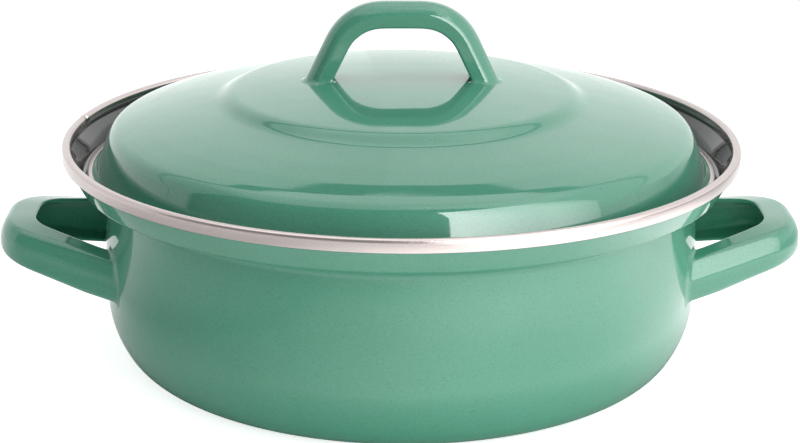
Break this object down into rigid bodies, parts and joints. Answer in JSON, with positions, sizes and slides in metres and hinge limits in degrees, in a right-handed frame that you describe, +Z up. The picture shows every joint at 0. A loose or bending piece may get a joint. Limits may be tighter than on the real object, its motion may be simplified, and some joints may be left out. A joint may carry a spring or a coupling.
{
  "type": "covered casserole dish",
  "caption": "Shallow round enamelled steel casserole with a domed lift-off lid, stainless edge trims, side handles and an arched lid handle.",
  "frame": {"origin": "centre of the underside of the pot's base", "axes": "+Z up along the axis of the pot, +X through the right side handle, +Y to the back of the dish"},
  "size_m": [0.3468, 0.29, 0.1554],
  "materials": {
    "deep_drawn_steel": "mill",
    "green_enamel": "gloss",
    "dark_enamel": "gloss",
    "green_enamelled_steel": "gloss",
    "stainless_trim": "satin"
  },
  "bodies": {
    "pot": {"pot_shell": "deep_drawn_steel", "pot_outer_enamel": "green_enamel", "pot_inner_enamel": "dark_enamel", "pot_base_enamel": "dark_enamel", "pot_rim_trim": "stainless_trim", "left_side_handle": "green_enamelled_steel", "right_side_handle": "green_enamelled_steel"},
    "lid": {"lid_shell": "deep_drawn_steel", "lid_outer_enamel": "green_enamel", "lid_inner_enamel": "dark_enamel", "lid_rim_trim": "stainless_trim", "lid_handle": "green_enamelled_steel"}
  },
  "joints": [
    {"name": "lid_lift", "type": "slide", "parent": "pot", "child": "lid", "axis": [0, 0, 1], "range_m": [0, 0.16]}
  ]
}
